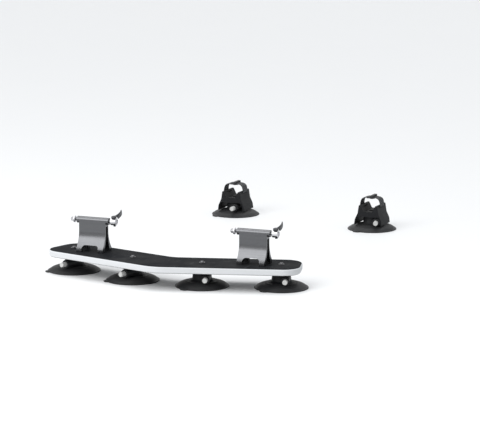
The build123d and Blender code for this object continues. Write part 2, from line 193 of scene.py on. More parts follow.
def swept(path, across, out, section):
    """Section (a, b) carried along a path: each point is path + a times across + b times out."""
    a, b = section[:, 0], section[:, 1]
    return path[:, None, :] + a[None, :, None] * across[:, None, :] + b[None, :, None] * out[:, None, :]


def path_frames(path, side):
    """Unit vectors along the path, and square to it and to the given side direction."""
    ahead = np.gradient(path, axis=0)
    ahead /= np.linalg.norm(ahead, axis=1, keepdims=True)
    side = np.broadcast_to(np.asarray(side, float), path.shape)
    out = np.cross(ahead, side)
    return ahead, out / np.linalg.norm(out, axis=1, keepdims=True)


def round_box_section(half_a, half_b, power, count):
    """Closed outline of a box with soft corners: cosine and sine each raised to 2 / power."""
    angle = np.linspace(0, 2 * pi, count, endpoint=False)
    c, s = np.cos(angle), np.sin(angle)
    a = half_a * np.sign(c) * np.abs(c) ** (2 / power)
    b = half_b * np.sign(s) * np.abs(s) ** (2 / power)
    return np.stack([a, b], 1)


def turn(angle, axis):
    """Rotation matrix about X, Y or Z."""
    c, s = cos(angle), sin(angle)
    rows = {"X": [[1, 0, 0], [0, c, -s], [0, s, c]], "Y": [[c, 0, s], [0, 1, 0], [-s, 0, c]],
            "Z": [[c, -s, 0], [s, c, 0], [0, 0, 1]]}
    return np.array(rows[axis])


def placed(points, matrix=None, move=(0, 0, 0)):
    """Points turned by a matrix and then moved."""
    points = np.asarray(points, float)
    return (points if matrix is None else points @ np.asarray(matrix).T) + np.asarray(move, float)


def grid_faces(rows, columns, closed_rows, closed_columns, first=0):
    """Quads that join each grid point to the next one both ways, and their grid places for the UV map."""
    i, j = np.meshgrid(
        np.arange(rows if closed_rows else rows - 1),
        np.arange(columns if closed_columns else columns - 1), indexing="ij",
    )
    corners = [(i, j), (i + 1, j), (i + 1, j + 1), (i, j + 1)]
    faces = np.stack([first + (a % rows) * columns + b % columns for a, b in corners], -1).reshape(-1, 4)
    places = np.stack([np.stack([a, b], -1) for a, b in corners], -2).reshape(-1, 2)
    return faces, places


def surface_metres(points, corners):
    """UV places in metres: how far each grid corner lies along the first column and round the middle row."""
    ring = points[len(points) // 2]
    lines = points[:, 0], np.vstack([ring, ring[:1]])
    along, across = (np.append(0, np.cumsum(np.linalg.norm(np.diff(line, axis=0), axis=1))) for line in lines)
    return np.stack([along[corners[:, 0]], across[corners[:, 1]]], 1)


def piece_from_grids(name, body, material, grids, measured=False, sharp=35, weld=1e-6):
    """One mesh from grids, each (points, closed_rows, closed_columns), on a body; measured adds a UV map."""
    vertices, faces, places, first = [], [], [], 0
    for points, closed_rows, closed_columns in grids:
        rows, columns = points.shape[:2]
        quads, corner = grid_faces(rows, columns, closed_rows, closed_columns, first)
        vertices.append(points.reshape(-1, 3))
        faces.append(quads)
        if measured:
            places.append(surface_metres(points, corner))
        first += rows * columns
    mesh = bpy.data.meshes.new(name)
    mesh.from_pydata(np.vstack(vertices).tolist(), [], np.vstack(faces).tolist())
    if measured:
        layer = mesh.uv_layers.new(name="surface")
        layer.data.foreach_set("uv", np.vstack(places).ravel())
    shell = bmesh.new()
    shell.from_mesh(mesh)
    bmesh.ops.remove_doubles(shell, verts=shell.verts, dist=weld)
    rims = [edge for edge in shell.edges if edge.is_boundary]
    if rims:
        bmesh.ops.holes_fill(shell, edges=rims, sides=0)
    bmesh.ops.recalc_face_normals(shell, faces=shell.faces)
    shell.to_mesh(mesh)
    shell.free()
    return dressed(name, body, material, mesh, sharp)


def dressed(name, body, material, mesh, sharp=35):
    """Object for a mesh, smooth except at edges sharper than an angle, with a material and a body."""
    mesh.shade_smooth()
    mesh.set_sharp_from_angle(angle=radians(sharp))
    mesh.materials.clear()
    mesh.materials.append(material)
    piece = bpy.data.objects.new(name, mesh)
    bpy.context.scene.collection.objects.link(piece)
    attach(piece, body)
    return piece


def rounded_copy(node, name, body, material, width, segments=2):
    """A solid's own shape as clean faces, with a small round on every sharp edge."""
    mesh = frame["nodes"][node].data.copy()
    shell = bmesh.new()
    shell.from_mesh(mesh)
    bmesh.ops.remove_doubles(shell, verts=shell.verts, dist=2e-6)
    bmesh.ops.dissolve_limit(shell, angle_limit=radians(0.6), verts=shell.verts, edges=shell.edges)
    shell.to_mesh(mesh)
    shell.free()
    piece = dressed(name, body, material, mesh, 32)
    rounding = piece.modifiers.new("rounding", "BEVEL")
    rounding.width = width
    rounding.segments = segments
    rounding.limit_method = "ANGLE"
    rounding.angle_limit = radians(32)
    rounding.harden_normals = True
    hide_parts(node)
    return piece


def repainted(node, material):
    """Puts a material on a solid that is shown as it is."""
    materials = frame["nodes"][node].data.materials
    materials.clear()
    materials.append(material)


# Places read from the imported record

mounts = {mount["name"]: mount for mount in frame["record"]["mounts"]}
joints = {joint["name"]: joint for joint in frame["joints"]}


def cup_place(spot):
    """Turn about Z and middle of a cup, from its rest face and its pump's line of travel."""
    middle = np.array(mounts[f"roof_face_{spot}"]["pos_m"]) - [0, pad_ring, 0]
    along = joints[f"pump_{spot}_press"]["axis"]
    return turn(atan2(-along[0], along[1]), "Z"), middle


def axle_place(side):
    """Middle of a fork mount's axle."""
    return np.array(mounts[f"fork_axle_{side}"]["pos_m"])


def cup_body(spot):
    """Body that a cup's fixed pieces belong to."""
    return "root" if spot in FRONT_CUPS else f"wheel_holder_{spot}"


# Shader node groups shared by the finishes

def new_group(name, inputs, outputs):
    """Empty shader node group with float inputs (name: default) and outputs (name: socket type)."""
    group = bpy.data.node_groups.new(name, "ShaderNodeTree")
    for label, value in inputs.items():
        socket = group.interface.new_socket(label, in_out="INPUT", socket_type="NodeSocketFloat")
        socket.default_value = value
    for label, kind in outputs.items():
        group.interface.new_socket(label, in_out="OUTPUT", socket_type=kind)
    return group, group.nodes.new("NodeGroupInput"), group.nodes.new("NodeGroupOutput")


def add_math(tree, operation, first, second=None, clamp=False):
    """Math node fed by sockets or numbers."""
    node = tree.nodes.new("ShaderNodeMath")
    node.operation = operation
    node.use_clamp = clamp
    for socket, value in zip(node.inputs, (first, second)):
        if value is None:
            continue
        if isinstance(value, (int, float)):
            socket.default_value = value
        else:
            tree.links.new(value, socket)
    return node.outputs[0]


def add_range(tree, value, low, high, to_low=0.0, to_high=1.0):
    """Value mapped from one range to another, and clamped."""
    node = tree.nodes.new("ShaderNodeMapRange")
    tree.links.new(value, node.inputs["Value"])
    node.inputs["From Min"].default_value = low
    node.inputs["From Max"].default_value = high
    node.inputs["To Min"].default_value = to_low
    node.inputs["To Max"].default_value = to_high
    return node.outputs["Result"]


def add_noise(tree, vector, scale, detail=2.0, stretch=None):
    """Noise on a vector, drawn out along an axis where stretch says so."""
    if stretch is not None:
        mapping = tree.nodes.new("ShaderNodeMapping")
        mapping.inputs["Scale"].default_value = stretch
        tree.links.new(vector, mapping.inputs["Vector"])
        vector = mapping.outputs["Vector"]
    node = tree.nodes.new("ShaderNodeTexNoise")
    tree.links.new(vector, node.inputs["Vector"])
    if isinstance(scale, (int, float)):
        node.inputs["Scale"].default_value = scale
    else:
        tree.links.new(scale, node.inputs["Scale"])
    node.inputs["Detail"].default_value = detail
    return node.outputs["Fac"]


def object_vector(tree):
    """Object coordinates, which are metres in the carrier's frame."""
    return tree.nodes.new("ShaderNodeTexCoord").outputs["Object"]


def make_moulded_group():
    """Moulded skin: cells of a fine spark-eroded grain over slow waves of uneven gloss."""
    group, given, result = new_group(
        "moulded_grain", {"Cells per metre": 900.0}, {"Height": "NodeSocketFloat", "Gloss": "NodeSocketFloat"}
    )
    vector = object_vector(group)
    cells = group.nodes.new("ShaderNodeTexVoronoi")
    cells.feature = "SMOOTH_F1"
    group.links.new(vector, cells.inputs["Vector"])
    group.links.new(given.outputs[0], cells.inputs["Scale"])
    fine = add_noise(group, vector, 2400.0)
    height = add_math(group, "ADD", cells.outputs["Distance"], add_math(group, "MULTIPLY", fine, 0.4))
    group.links.new(height, result.inputs["Height"])
    group.links.new(add_noise(group, vector, 26.0, 4.0), result.inputs["Gloss"])
    return group


def make_dust_group():
    """Dust that settles on faces that look up, broken by noise."""
    group, given, result = new_group("roof_dust", {"Amount": 0.2}, {"Mask": "NodeSocketFloat"})
    upward = group.nodes.new("ShaderNodeSeparateXYZ")
    group.links.new(group.nodes.new("ShaderNodeNewGeometry").outputs["Normal"], upward.inputs[0])
    lying = add_range(group, upward.outputs["Z"], 0.35, 1.0)
    vector = object_vector(group)
    specks = add_range(group, add_noise(group, vector, 420.0, 3.0), 0.55, 0.75)
    clouds = add_range(group, add_noise(group, vector, 14.0, 3.0), 0.35, 0.75)
    mixed = add_math(group, "ADD", add_math(group, "MULTIPLY", specks, 0.5), clouds, clamp=True)
    mask = add_math(group, "MULTIPLY", add_math(group, "MULTIPLY", mixed, lying), given.outputs[0])
    group.links.new(mask, result.inputs["Mask"])
    return group


def make_scratch_group():
    """Fine scratches: thin crests of noise drawn out two ways."""
    group, given, result = new_group("fine_scratches", {"Amount": 0.5}, {"Mask": "NodeSocketFloat"})
    vector = object_vector(group)
    masks = []
    for stretch in ((9.0, 260.0, 260.0), (240.0, 12.0, 300.0)):
        crest = add_noise(group, vector, 1.0, 2.0, stretch)
        masks.append(add_range(group, crest, 0.66, 0.72))
    both = add_math(group, "MAXIMUM", masks[0], masks[1])
    group.links.new(add_math(group, "MULTIPLY", both, given.outputs[0]), result.inputs["Mask"])
    return group


def make_drawn_group():
    """Die lines of an extrusion along X: noise drawn out a hundredfold, at two scales."""
    group, given, result = new_group(
        "die_lines", {"Lines per metre": 1500.0}, {"Height": "NodeSocketFloat", "Streak": "NodeSocketFloat"}
    )
    vector = object_vector(group)
    mapping = group.nodes.new("ShaderNodeMapping")
    mapping.inputs["Scale"].default_value = (0.008, 1.0, 1.0)
    group.links.new(vector, mapping.inputs["Vector"])
    lines = add_noise(group, mapping.outputs["Vector"], given.outputs[0], 3.0)
    broad = add_noise(group, mapping.outputs["Vector"], 240.0, 2.0)
    group.links.new(lines, result.inputs["Height"])
    streak = add_math(group, "ADD", add_math(group, "MULTIPLY", lines, 0.5), broad)
    group.links.new(streak, result.inputs["Streak"])
    return group


def make_weave_group():
    """Plain weave on the UV map: warp and weft threads as half waves that pass over each other in turn; the second
    output is a painted highlight on the thread crests, broken by noise.
    """
    group, given, result = new_group(
        "webbing_weave", {"Threads per metre": 900.0},
        {"Height": "NodeSocketFloat", "Crest highlight": "NodeSocketFloat"},
    )
    coordinates = group.nodes.new("ShaderNodeUVMap")
    coordinates.uv_map = "surface"
    split = group.nodes.new("ShaderNodeSeparateXYZ")
    group.links.new(coordinates.outputs[0], split.inputs[0])
    ribs, counts = [], []
    for axis in ("X", "Y"):
        threads = add_math(group, "MULTIPLY", split.outputs[axis], given.outputs[0])
        wave = add_math(group, "SINE", add_math(group, "MULTIPLY", threads, pi))
        ribs.append(add_math(group, "ABSOLUTE", wave))
        counts.append(add_math(group, "FLOOR", threads))
    cells = add_math(group, "ADD", counts[0], counts[1])
    over = add_math(group, "MODULO", add_math(group, "ABSOLUTE", cells), 2.0)
    under = add_math(group, "SUBTRACT", 1.0, over)
    warp, weft = add_math(group, "MULTIPLY", ribs[0], over), add_math(group, "MULTIPLY", ribs[1], under)
    height = add_math(group, "ADD", warp, weft)
    group.links.new(height, result.inputs["Height"])
    # painted highlight: the crests of the threads, by their height, broken by noise
    fuzz = add_range(group, add_noise(group, object_vector(group), 1800.0, 3.0), 0.2, 0.8, 0.6, 1.0)
    group.links.new(add_math(group, "MULTIPLY", height, fuzz), result.inputs["Crest highlight"])
    return group


GROUPS = {
    "grain": make_moulded_group(),
    "dust": make_dust_group(),
    "scratch": make_scratch_group(),
    "drawn": make_drawn_group(),
    "weave": make_weave_group(),
}


# Finishes

class Finish:
    """A material being built: a Principled shader and short ways to feed it."""

    def __init__(self, name, colour, roughness, metallic=0.0, specular=0.5):
        self.material = bpy.data.materials.new(name)
        self.material.use_nodes = True
        self.tree = self.material.node_tree
        self.shader = self.tree.nodes["Principled BSDF"]
        self.shader.inputs["Base Color"].default_value = (*colour, 1)
        self.shader.inputs["Roughness"].default_value = roughness
        self.shader.inputs["Metallic"].default_value = metallic
        self.shader.inputs["Specular IOR Level"].default_value = specular
        self.colour = None
        self.plain = colour
        self.rough = None
        self.plain_rough = roughness

    def group(self, key, value=None):
        """One of the shared groups, with its own setting."""
        node = self.tree.nodes.new("ShaderNodeGroup")
        node.node_tree = GROUPS[key]
        if value is not None:
            node.inputs[0].default_value = value
        return node.outputs

    def noise(self, scale, detail=2.0, stretch=None):
        """Noise on the object's own coordinates."""
        return add_noise(self.tree, object_vector(self.tree), scale, detail, stretch)

    def tint(self, mask, colour):
        """Blends a colour in where the mask is 1."""
        mix = self.tree.nodes.new("ShaderNodeMix")
        mix.data_type = "RGBA"
        self.tree.links.new(mask, mix.inputs["Factor"])
        if self.colour is None:
            mix.inputs["A"].default_value = (*self.plain, 1)
        else:
            self.tree.links.new(self.colour, mix.inputs["A"])
        mix.inputs["B"].default_value = (*colour, 1)
        self.colour = mix.outputs["Result"]
        self.tree.links.new(self.colour, self.shader.inputs["Base Color"])

    def roughen(self, mask, change):
        """Adds the change to the roughness where the mask is 1."""
        base = self.plain_rough if self.rough is None else self.rough
        step = add_math(self.tree, "MULTIPLY", mask, change)
        self.rough = add_math(self.tree, "ADD", step, base, clamp=True)
        self.tree.links.new(self.rough, self.shader.inputs["Roughness"])

    def bump(self, height, distance, strength=1.0):
        """Raises the surface by a height mask; bumps chain one after another."""
        node = self.tree.nodes.new("ShaderNodeBump")
        node.inputs["Strength"].default_value = strength
        node.inputs["Distance"].default_value = distance
        self.tree.links.new(height, node.inputs["Height"])
        linked = self.shader.inputs["Normal"].links
        if linked:
            self.tree.links.new(linked[0].from_socket, node.inputs["Normal"])
        self.tree.links.new(node.outputs["Normal"], self.shader.inputs["Normal"])

    def height_mask(self, axis, low, high, soft):
        """1 between two places along an object axis, with soft ends."""
        split = self.tree.nodes.new("ShaderNodeSeparateXYZ")
        self.tree.links.new(object_vector(self.tree), split.inputs[0])
        rise = add_range(self.tree, split.outputs[axis], low - soft, low + soft)
        fall = add_range(self.tree, split.outputs[axis], high - soft, high + soft, 1.0, 0.0)
        return add_math(self.tree, "MULTIPLY", rise, fall)


def board_sheet():
    """Black pebbled sheet with a white core between its skins, routed at the edge."""
    finish = Finish("board_sheet", (0.010, 0.011, 0.013), 0.5, specular=0.01)
    grain = finish.group("grain", 650.0)
    finish.roughen(grain["Gloss"], 0.16)
    scratches = finish.group("scratch", 0.55)
    finish.tint(scratches["Mask"], (0.06, 0.063, 0.068))
    dust = finish.group("dust", 0.05)
    finish.tint(dust["Mask"], (0.32, 0.31, 0.29))
    core = finish.height_mask("Z", board_foot + skin_thick, board_top - skin_thick, 0.00012)
    finish.tint(core, (0.62, 0.63, 0.64))
    finish.roughen(core, 0.12)
    chatter = finish.noise(1.0, 2.0, (60.0, 60.0, 1800.0))
    finish.bump(add_math(finish.tree, "MULTIPLY", chatter, core), 0.00004, 0.5)
    skin = add_math(finish.tree, "SUBTRACT", 1.0, core)
    finish.bump(add_math(finish.tree, "MULTIPLY", grain["Height"], skin), 0.00012, 0.55)
    return finish.material


def moulded_plastic(name, colour, roughness, cells, dust_amount):
    """Moulded plastic: spark-eroded grain, uneven gloss, light scuffs and dust."""
    finish = Finish(name, colour, roughness, specular=0.16)
    grain = finish.group("grain", cells)
    finish.roughen(grain["Gloss"], 0.2)
    finish.tint(finish.group("scratch", 0.35)["Mask"], tuple(min(1, c * 3 + 0.02) for c in colour))
    finish.tint(finish.group("dust", dust_amount)["Mask"], (0.34, 0.33, 0.31))
    finish.bump(grain["Height"], 0.00007, 0.6)
    return finish.material


def cup_rubber():
    """Moulded rubber with a grey bloom, glossier where it was wiped."""
    finish = Finish("cup_rubber", (0.012, 0.0125, 0.014), 0.42, specular=0.2)
    grain = finish.group("grain", 1400.0)
    finish.roughen(grain["Gloss"], 0.26)
    bloom = add_range(finish.tree, finish.noise(32.0, 5.0), 0.45, 0.8, 0.0, 0.35)
    finish.tint(bloom, (0.034, 0.034, 0.036))
    finish.tint(finish.group("dust", 0.07)["Mask"], (0.36, 0.35, 0.33))
    finish.bump(grain["Height"], 0.00003, 0.5)
    finish.shader.inputs["Sheen Weight"].default_value = 0.03
    return finish.material


def plunger_plastic():
    """White moulded plastic with faint yellowing and fine rub marks."""
    finish = Finish("plunger_plastic", (0.52, 0.52, 0.51), 0.3, specular=0.3)
    cloud = finish.noise(60.0, 3.0)
    finish.tint(add_range(finish.tree, cloud, 0.4, 0.8, 0.0, 0.5), (0.47, 0.46, 0.43))
    finish.tint(finish.group("scratch", 0.4)["Mask"], (0.36, 0.36, 0.35))
    finish.roughen(cloud, 0.15)
    return finish.material


def anodised_extrusion():
    """Satin anodised aluminium with die lines along the extrusion and handling marks; its base colour is kept dark
    as painted shade, standing in for dark surroundings seen in its reflection.
    """
    # painted shade: base colour far darker than bare aluminium, so the metal reflects dark surroundings
    finish = Finish("mount_aluminium", (0.095, 0.097, 0.102), 0.17, metallic=1.0)
    lines = finish.group("drawn", 1500.0)
    streak = add_range(finish.tree, lines["Streak"], 0.45, 1.05, 0.0, 0.7)
    finish.tint(streak, (0.12, 0.122, 0.127))
    finish.roughen(lines["Streak"], 0.08)
    smudge = add_range(finish.tree, finish.noise(22.0, 4.0), 0.5, 0.8)
    finish.roughen(smudge, 0.1)
    finish.tint(finish.group("scratch", 0.25)["Mask"], (0.17, 0.17, 0.178))
    finish.bump(lines["Height"], 0.000012, 0.6)
    return finish.material


def turned_steel(name, colour, roughness):
    """Machined steel: fine turning noise, stains and bright scratches."""
    finish = Finish(name, colour, roughness, metallic=1.0)
    fine = finish.noise(1600.0, 3.0)
    finish.roughen(fine, 0.12)
    stain = add_range(finish.tree, finish.noise(90.0, 4.0), 0.5, 0.85, 0.0, 0.6)
    finish.tint(stain, tuple(c * 0.72 for c in colour))
    finish.tint(finish.group("scratch", 0.5)["Mask"], tuple(min(1, c * 1.25) for c in colour))
    finish.bump(fine, 0.000012, 0.4)
    return finish.material


def black_alloy():
    """Black anodised alloy, worn to bare metal in thin scratches."""
    finish = Finish("lever_alloy", (0.035, 0.036, 0.04), 0.3, metallic=0.6)
    grain = finish.group("grain", 2600.0)
    finish.roughen(grain["Gloss"], 0.18)
    finish.tint(finish.group("scratch", 0.6)["Mask"], (0.5, 0.5, 0.52))
    finish.bump(grain["Height"], 0.00001, 0.4)
    return finish.material


def webbing():
    """Black woven strap with dust, a painted highlight on the thread crests, and soft sheen."""
    finish = Finish("strap_webbing", (0.016, 0.017, 0.019), 0.78, specular=0.2)
    weave = finish.group("weave", 620.0)
    # painted highlight: raised threads tinted lighter
    finish.tint(add_range(finish.tree, weave["Crest highlight"], 0.3, 1.0, 0.0, 0.55), (0.075, 0.078, 0.085))
    finish.tint(finish.group("dust", 0.14)["Mask"], (0.30, 0.29, 0.27))
    finish.bump(weave["Height"], 0.00035, 0.9)
    finish.shader.inputs["Sheen Weight"].default_value = 0.12
    return finish.material


FINISHES = {
    "board": board_sheet(),
    "rubber": cup_rubber(),
    "pump": moulded_plastic("pump_plastic", (0.016, 0.0165, 0.018), 0.45, 1000.0, 0.07),
    "plunger": plunger_plastic(),
    "seal": moulded_plastic("seal_rubber", (0.02, 0.02, 0.02), 0.5, 1500.0, 0.0),
    "spring": turned_steel("spring_steel", (0.50, 0.50, 0.52), 0.3),
    "fastener": turned_steel("fastener_steel", (0.13, 0.13, 0.137), 0.34),
    "mount": anodised_extrusion(),
    "skewer": turned_steel("skewer_steel", (0.52, 0.52, 0.54), 0.2),
    "lever": black_alloy(),
    "cradle": moulded_plastic("cradle_plastic", (0.010, 0.0105, 0.012), 0.5, 800.0, 0.045),
    "strap": webbing(),
    "keeper": moulded_plastic("keeper_plastic", (0.03, 0.03, 0.032), 0.35, 1200.0, 0.12),
}


# Cups

def pad_profile():
    """Half section of the rubber cup: crown, two shallow steps, dome, beaded lip and hollow underside."""
    corners = np.array([
        (stud_hole, 0.0060), (stud_hole, pad_top), (0.0340, pad_top), (0.0362, pad_top), (0.0372, 0.0170),
        (0.0385, 0.0168), (0.0460, 0.0168), (0.0475, 0.0161), (0.0484, 0.0151), (0.0540, 0.0143),
        (0.0610, 0.0122), (0.0670, 0.0092), (0.0708, 0.0064), (0.0726, 0.0045), (0.0738, 0.0037),
        (0.0752, 0.0037), (0.0765, 0.0030), (pad_radius, 0.0018), (0.0768, 0.0005), (0.0758, 0.0),
        (0.0735, 0.0), (0.0700, 0.0), (0.0688, 0.0004), (0.0640, 0.0010), (0.0632, 0.0004), (0.0618, 0.0004),
        (0.0610, 0.0012), (0.0520, 0.0018), (0.0512, 0.0011), (0.0498, 0.0011), (0.0490, 0.0020),
        (0.0300, 0.0028), (0.0142, 0.0030), (0.0142, 0.0060),
    ])
    return eased_line(corners, 2, closed=True)


def pad_tab(radius, height, angle):
    """Radius of the lip, drawn out into a rounded tab about one angle, and less so further in."""
    gap = np.abs((angle - tab_angle + pi) % (2 * pi) - pi) / tab_half_angle
    across = np.clip(1 - gap ** 4, 0, 1) ** 0.5
    share = smooth_step((radius - tab_start) / (pad_radius - tab_start))
    return radius + tab_reach * across * share


def make_pad(spot):
    """Rubber cup of one spot, with its release tab."""
    matrix, middle = cup_place(spot)
    grids = [(placed(lathe(pad_profile(), 144, pad_tab), matrix, middle), True, True)]
    pad = piece_from_grids(f"rubber_cup_{spot}", cup_body(spot), FINISHES["rubber"], grids, sharp=60)
    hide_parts(f"pad_{spot}")


def along_pump(points, spot):
    """Turns a shape made about Z onto a pump's line, its +Z pointing out of the barrel."""
    matrix, middle = cup_place(spot)
    local = placed(points, turn(pi / 2, "X"), (pump_side, 0, pump_height))
    return placed(local, matrix, middle)


def rod_groove(place):
    """Profile of one V groove round the push rod."""
    depth = plunger_groove
    floor = plunger_radius - depth
    return [(plunger_radius, place), (floor, place - depth), (plunger_radius, place - 2 * depth)]


def make_plunger(spot):
    """White push rod with a dished tip and two fine grooves round it."""
    tip, shoulder_at = plunger_tip, plunger_shoulder
    head_at = shoulder_at - head_length
    round_edge = 0.0012
    corners = [
        (0, tip - 0.0006), (0.0045, tip - 0.0006), (0.0052, tip), (plunger_radius - round_edge, tip),
        (plunger_radius, tip - round_edge), *rod_groove(0.0655), *rod_groove(0.0625),
        (plunger_radius, shoulder_at + 0.0002), (plunger_radius, shoulder_at),
        (bore_radius - 0.0002, shoulder_at), (bore_radius - 0.0001, shoulder_at - 0.0004),
        (bore_radius - 0.0001, head_at), (0, head_at),
    ]
    grids = [(along_pump(lathe(corners, 48), spot), False, True)]
    plunger = piece_from_grids(f"push_rod_{spot}", f"plunger_{spot}", FINISHES["plunger"], grids)
    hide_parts(f"plunger_{spot}")


def cap_flutes(radius, height, angle):
    """Radius of the cap, cut by twenty shallow flutes: a raised cosine of the angle."""
    outside = radius > cap_radius - 0.0008
    return radius - outside * 0.00035 * (0.5 + 0.5 * np.cos(20 * angle)) ** 2


def cap_points(spot):
    """Fluted collar on the mouth of one barrel."""
    front, back = barrel_mouth + cap_thick, barrel_mouth
    hole = plunger_radius + 0.00006
    corners = [
        (hole, back), (hole, front - 0.0006), (hole + 0.0006, front), (cap_radius - 0.001, front),
        (cap_radius - 0.0003, front - 0.0004), (cap_radius, front - 0.0011), (cap_radius, back + 0.0006),
        (cap_radius - 0.0005, back),
    ]
    return along_pump(lathe(corners, 120, cap_flutes), spot)


def make_caps():
    """Collars of the front pumps as one piece, and one for each wheel holder."""
    front = [(cap_points(spot), True, True) for spot in FRONT_CUPS]
    caps = piece_from_grids("barrel_collars_front", "root", FINISHES["pump"], front, sharp=28)
    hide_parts("pump_end_caps_front")
    for spot in REAR_CUPS:
        grids = [(cap_points(spot), True, True)]
        cap = piece_from_grids(f"barrel_collar_{spot}", cup_body(spot), FINISHES["pump"], grids, sharp=28)
        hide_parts(f"pump_end_cap_{spot}")


def make_spring(spot):
    """Helix of round wire between the seal and the end of the bore, with closed end turns."""
    share = np.linspace(0, 1, spring_turns * 28)
    angle = 2 * pi * spring_turns * share
    radius = bore_radius - spring_wire - 0.0004
    start, end = seal_end - spring_wire, -bore_end + spring_wire
    end_turn = 0.07
    open_share = np.clip((share - end_turn) / (1 - 2 * end_turn), 0, 1)
    rise = lerp(open_share, smooth_step(open_share), 0.35)
    path = np.stack([radius * np.cos(angle), radius * np.sin(angle), lerp(start, end, rise)], 1)
    radial = path * [1, 1, 0]
    radial /= np.linalg.norm(radial, axis=1, keepdims=True)
    ahead, _ = path_frames(path, (0, 0, 1))
    lift = np.cross(ahead, radial)
    wire = swept(path, radial, lift, round_box_section(spring_wire, spring_wire, 2, 10))
    grids = [(along_pump(wire, spot), False, True)]
    coil = piece_from_grids(f"coil_spring_{spot}", cup_body(spot), FINISHES["spring"], grids)
    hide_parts(f"pump_spring_{spot}")
    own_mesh(coil)


for spot in FRONT_CUPS + REAR_CUPS:
    make_pad(spot)
    make_plunger(spot)
    make_spring(spot)
    body = rounded_copy(f"pump_body_{spot}", f"pump_housing_{spot}", cup_body(spot), FINISHES["pump"], 0.0007)
    repainted(f"piston_seal_{spot}", FINISHES["seal"])
make_caps()


# Board and bolts

board = rounded_copy("board", "board_sheet", "root", FINISHES["board"], 0.0009, 3)


def socket_wave(radius, height, angle):
    """Hexagon for the socket's rows: the apothem over the cosine of the angle to the nearest flat."""
    flat = (angle + pi / 6) % (pi / 3) - pi / 6
    return np.where(np.abs(radius - socket_apothem) < 1e-6, socket_apothem / np.cos(flat), radius)


def bolt_grid(foot, length):
    """Round-headed bolt with a hexagon socket, standing on its washer."""
    head = foot + washer_thick
    top = head + bolt_head_height
    wide = bolt_head_radius
    corners = [
        (0, top - socket_depth), (socket_apothem, top - socket_depth), (socket_apothem, top - 0.0002),
        (socket_apothem + 0.0006, top), (wide * 0.62, top - 0.0001), (wide * 0.8, top - 0.0006),
        (wide * 0.93, top - 0.0015), (wide, top - 0.0028), (wide, head), (bolt_shank, head),
        (bolt_shank, head - length), (0, head - length),
    ]
    return lathe(corners, 72, socket_wave)


def washer_grid(foot):
    """Flat washer with rolled edges."""
    edge = 0.0003
    corners = [
        (bolt_shank + edge, foot), (washer_radius - edge, foot), (washer_radius, foot + edge),
        (washer_radius, foot + washer_thick - edge), (washer_radius - edge, foot + washer_thick),
        (bolt_shank + edge, foot + washer_thick),
    ]
    return lathe(corners, 72)


def make_bolts():
    """Bolts and washers over the front cups as one piece, and the bolt in each cradle."""
    grids = []
    for spot in FRONT_CUPS:
        matrix, middle = cup_place(spot)
        grids.append((placed(bolt_grid(board_top, cup_bolt_length), matrix, middle), False, True))
        grids.append((placed(washer_grid(board_top), matrix, middle), True, True))
    bolts = piece_from_grids("cup_bolts", "root", FINISHES["fastener"], grids, sharp=40)
    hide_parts("cup_bolts_and_washers")
    for spot in REAR_CUPS:
        matrix, middle = cup_place(spot)
        foot = cradle_seat - washer_thick
        grids = [(placed(bolt_grid(foot, cradle_bolt_length), matrix, middle), False, True)]
        bolt = piece_from_grids(f"cradle_screw_{spot}", cup_body(spot), FINISHES["fastener"], grids, sharp=40)
        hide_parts(f"cradle_bolt_{spot}")


make_bolts()


# Fork mounts and skewers

def lever_grid():
    """Blade of the lever: soft box section along a bowed line, slim at the hub and wide beyond it."""
    share = np.linspace(0, 1, 72)
    reach = share * lever_length
    bow = 4 * share * (1 - share) * (lever_bow + lever_lean / 2)
    path = np.stack([bow - lever_lean * share, reach, 0 * share], 1)
    widen = smooth_step((reach - lever_clear + 0.001) / 0.008)
    low = lerp(lever_foot + 0.0004, lever_head - lever_width, widen)
    tip_length = 0.007
    end = np.clip((reach - (lever_length - tip_length)) / tip_length, 0, 1)
    round_off = np.sqrt(np.clip(1 - end ** 2, 0, 1))
    half = (lever_head - low) / 2 * lerp(0.25, 1, round_off)
    middle = (lever_head + low) / 2
    thick = lever_half_thick * lerp(0.35, 1, round_off) * lerp(1.0, 0.82, smooth_step(share))
    section = round_box_section(1, 1, 3.2, 40)
    _, out = path_frames(path, (0, 0, 1))
    rise = np.array([0, 0, 1.0])
    points = (
        path[:, None, :] + (middle[:, None] + half[:, None] * section[:, 0])[:, :, None] * rise
        + (thick[:, None] * section[:, 1])[:, :, None] * out[:, None, :]
    )
    groove = np.exp(-((share[:, None] - 0.66) / 0.2) ** 4) * (np.abs(section[:, 0]) < 0.55)
    return points - (groove * np.sign(section[:, 1]) * 0.0005)[:, :, None] * out[:, None, :]


def lever_hub_grid():
    """Round hub of the lever with a stepped, domed cap, and the shaft with its cam below it."""
    head, foot, tail = lever_head, lever_foot, -shaft_tail
    hub = [
        (0, head + 0.0004), (0.0030, head + 0.0003), (0.0034, head), (0.0042, head), (0.0062, head),
        (lever_hub - 0.0004, head - 0.0004), (lever_hub, head - 0.0011), (lever_hub, foot + 0.0005),
        (lever_hub - 0.0005, foot), (cam_shaft, foot), (cam_shaft, rod_head_half), (0, rod_head_half),
    ]
    low = [
        (0, -rod_head_half), (cam_shaft, -rod_head_half), (cam_shaft, tail + 0.0006),
        (cam_shaft - 0.0006, tail), (0, tail),
    ]
    cam = [(0, rod_head_half), (cam_radius, rod_head_half), (cam_radius, -rod_head_half), (0, -rod_head_half)]
    return [
        (lathe(hub, 56), False, True), (lathe(low, 40), False, True),
        (placed(lathe(cam, 40), None, (cam_throw, 0, 0)), False, True),
    ]


def make_lever(side):
    """Skewer lever, closed and pointing to the rear."""
    axle = axle_place(side)
    tilt = turn(lever_rise, "X")
    grids = [(lever_grid(), False, True)] + lever_hub_grid()
    moved = [
        (placed(placed(points, None, (clamp_face + cam_place, 0, 0)), tilt, axle), rows, columns)
        for points, rows, columns in grids
    ]
    lever = piece_from_grids(f"quick_lever_{side}", f"lever_{side}", FINISHES["lever"], moved, sharp=38)
    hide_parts(f"skewer_lever_{side}")


